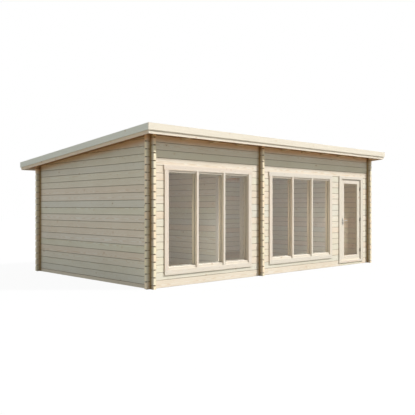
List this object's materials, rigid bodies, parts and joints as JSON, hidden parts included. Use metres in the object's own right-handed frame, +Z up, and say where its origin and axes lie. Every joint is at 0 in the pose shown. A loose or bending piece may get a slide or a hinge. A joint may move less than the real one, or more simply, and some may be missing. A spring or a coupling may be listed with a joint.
{
  "type": "log cabin",
  "caption": "Pent-roofed garden log cabin with interlocking log walls, two rooms, fixed multi-pane windows and a glazed door that opens outward.",
  "frame": {"origin": "on the ground under the middle of the roof's plan", "axes": "+X along the front wall to the right as seen from the front, +Y from front to back, +Z up"},
  "size_m": [7.548, 4.629, 2.795],
  "materials": {
    "log_wood": "planed softwood, pale, lightly glazed",
    "fascia_wood": "planed softwood boards",
    "casing_wood": "planed softwood trim",
    "frame_wood": "planed softwood joinery",
    "door_wood": "planed softwood joinery",
    "deck_boards": "tongue and groove boards",
    "rafter_wood": "sawn softwood",
    "floor_boards": "tongue and groove boards",
    "felt": "mineral roofing sheet",
    "glass": "clear float glass",
    "handle_metal": "satin",
    "hinge_metal": "zinc plated"
  },
  "bodies": {
    "cabin": {"back_wall": "log_wood", "backing_front": "fascia_wood", "backing_rear": "fascia_wood", "backing_sides": "fascia_wood", "cross_wall_front": "log_wood", "cross_wall_header": "log_wood", "cross_wall_rear": "log_wood", "cross_wall_step": "log_wood", "door_casing": "casing_wood", "door_frame": "frame_wood", "door_inner_casing": "casing_wood", "door_threshold": "frame_wood", "fascia_front": "fascia_wood", "fascia_left": "fascia_wood", "fascia_rear": "fascia_wood", "fascia_right": "fascia_wood", "floor_boards": "floor_boards", "floor_joists": "rafter_wood", "front_base_logs": "log_wood", "front_header": "log_wood", "front_pier_door": "log_wood", "front_pier_left": "log_wood", "front_pier_middle": "log_wood", "front_pier_right": "log_wood", "front_step_log": "log_wood", "hinge_knuckles": "hinge_metal", "inner_casings": "casing_wood", "left_wall": "log_wood", "passage_casings": "casing_wood", "passage_lining": "frame_wood", "rafters": "rafter_wood", "right_wall": "log_wood", "roof_deck": "deck_boards", "roof_felt": "felt", "window_casing_left": "casing_wood", "window_casing_right": "casing_wood", "window_frame_left": "frame_wood", "window_frame_right": "frame_wood", "window_glass_left": "glass", "window_glass_right": "glass"},
    "door": {"door_leaf": "door_wood", "door_glass": "glass", "handle_plates": "handle_metal", "hinge_leaves": "hinge_metal"},
    "lever": {"door_lever": "handle_metal"}
  },
  "joints": [
    {"name": "door_swing", "type": "hinge", "parent": "cabin", "child": "door", "pos_m": [3.0905, -2.0195, 1.1], "axis": [0, 0, 1], "range_deg": [0, 100]},
    {"name": "lever_turn", "type": "hinge", "parent": "door", "child": "lever", "pos_m": [2.335, -1.9855, 1.085], "axis": [0, 1, 0], "range_deg": [0, 45], "stiffness_Nm_per_rad": 1.5, "springref_deg": -20.05}
  ]
}
